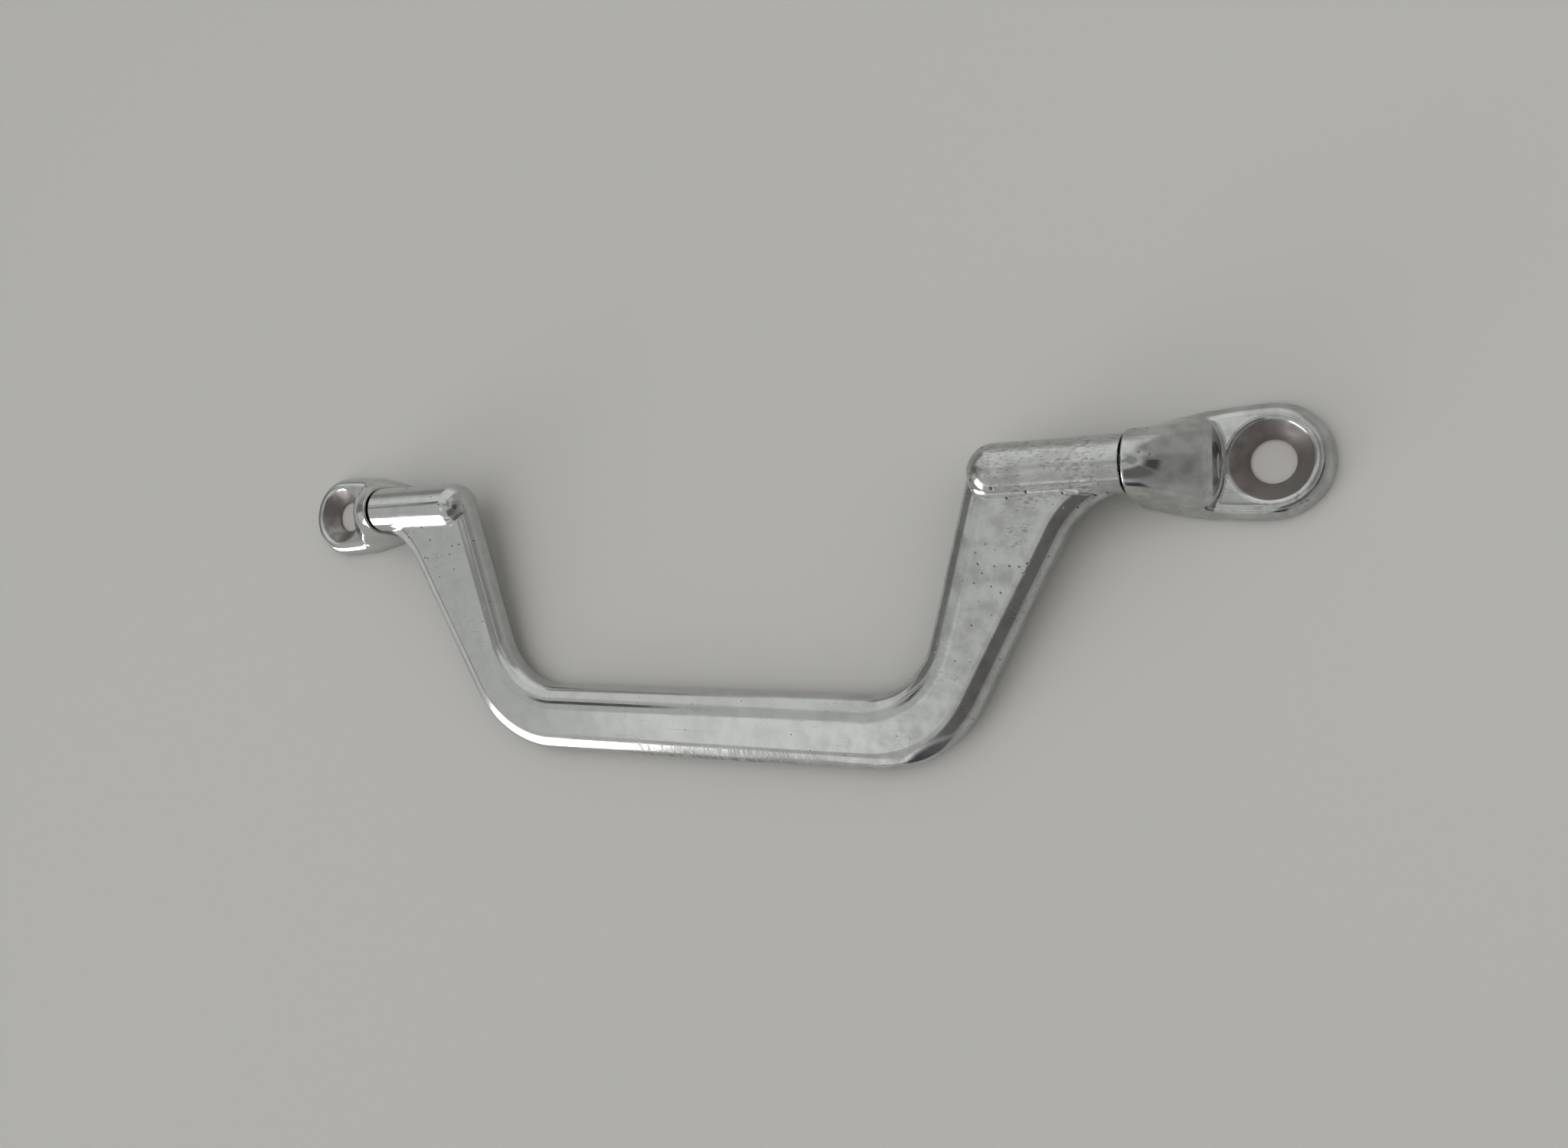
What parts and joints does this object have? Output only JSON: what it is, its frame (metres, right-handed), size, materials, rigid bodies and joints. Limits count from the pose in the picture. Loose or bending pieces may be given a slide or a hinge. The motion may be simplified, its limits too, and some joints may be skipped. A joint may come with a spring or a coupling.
{
  "type": "swinging furniture pull handle",
  "caption": "Chromed swinging pull: a flat bail with rounded edges and leaning arms turns on spigots between domed brackets that screw to a drawer, chest or lid.",
  "frame": {"origin": "midway between the two screw holes, on the face that the handle is screwed to", "axes": "+Z out of the furniture, +X along the hinge, and the bail lies down towards -Y"},
  "size_m": [0.174, 0.0464, 0.0108],
  "materials": {
    "bail_chrome": "polished chrome plate, clouded and speckled with wear",
    "bracket_chrome": "polished chrome plate with dull countersinks"
  },
  "bodies": {
    "brackets": {"left_bracket": "bracket_chrome", "right_bracket": "bracket_chrome"},
    "bail": {"bail": "bail_chrome"}
  },
  "joints": [
    {"name": "bail_swing", "type": "hinge", "parent": "brackets", "child": "bail", "pos_m": [0, 0, 0.0067], "axis": [-1, 0, 0], "range_deg": [0, 193.6]}
  ]
}
